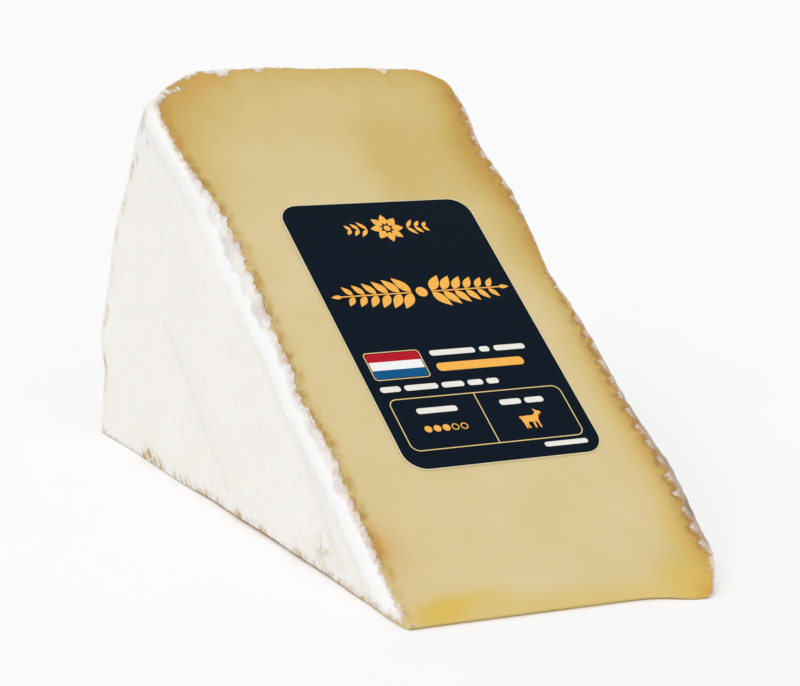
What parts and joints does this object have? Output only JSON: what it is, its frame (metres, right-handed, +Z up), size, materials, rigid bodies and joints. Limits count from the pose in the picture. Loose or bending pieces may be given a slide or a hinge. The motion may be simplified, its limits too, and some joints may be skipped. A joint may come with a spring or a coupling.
{
  "type": "goat brie wedge",
  "caption": "Wedge of soft white-rinded goat cheese lying on one cut face, with a cream paste and a dark rounded label on its upper cut face.",
  "frame": {"origin": "on the resting cut face, below the middle of the wedge's box", "axes": "+X across the thickness of the wheel, +Y from the wedge's thin end to the wheel's rim, +Z up"},
  "size_m": [0.0524, 0.1028, 0.0572],
  "materials": {
    "cheese": "satin cream-yellow paste on the cut faces, matt white bloomy rind on the sides",
    "label": "smooth dark navy printed sticker with gold, white, red and blue shapes"
  },
  "bodies": {
    "root": {"cheese_wedge": "cheese", "label": "label"}
  },
  "joints": []
}
